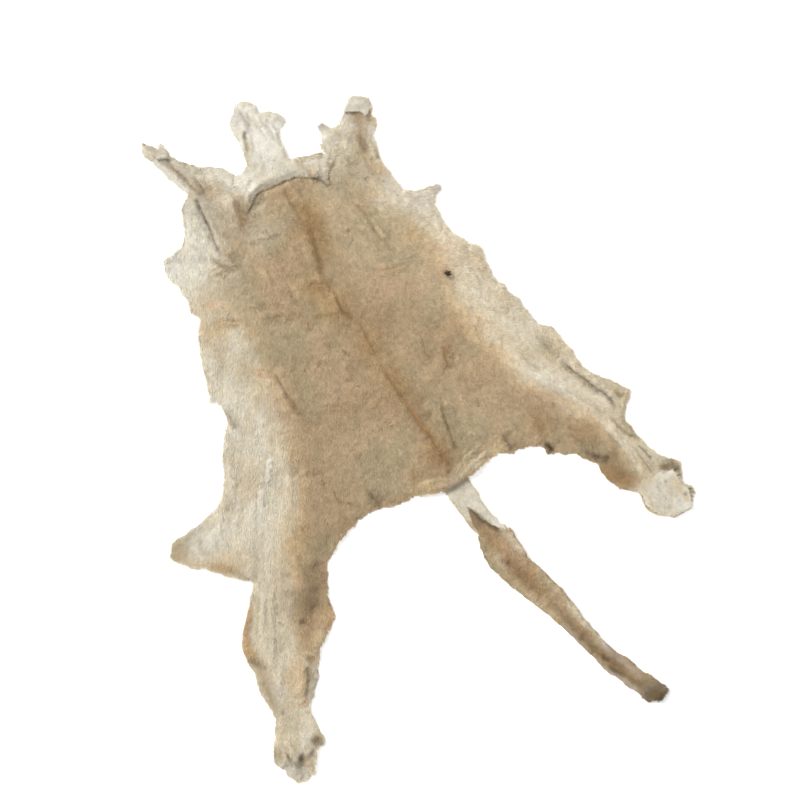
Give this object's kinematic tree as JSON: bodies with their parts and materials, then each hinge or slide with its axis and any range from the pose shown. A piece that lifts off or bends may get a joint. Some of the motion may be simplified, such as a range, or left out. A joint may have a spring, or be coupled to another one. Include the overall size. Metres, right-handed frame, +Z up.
{
  "type": "lion skin",
  "caption": "Tanned big-cat hide with its sandy coat, laid flat with the fur up: four legs, a turned-back neck edge and a long flattened tail.",
  "frame": {"origin": "point of the flat underside below the back, near the middle of the whole outline; the dorsal line lies at x = +0.140 m", "axes": "+Y runs along the dorsal line towards the neck, +X is the animal's right side, +Z is up out of the fur"},
  "size_m": [1.4973, 2.2086, 0.0217],
  "materials": {
    "hide": "matt, furred on the upper side"
  },
  "bodies": {
    "root": {"hide": "hide"}
  },
  "joints": []
}
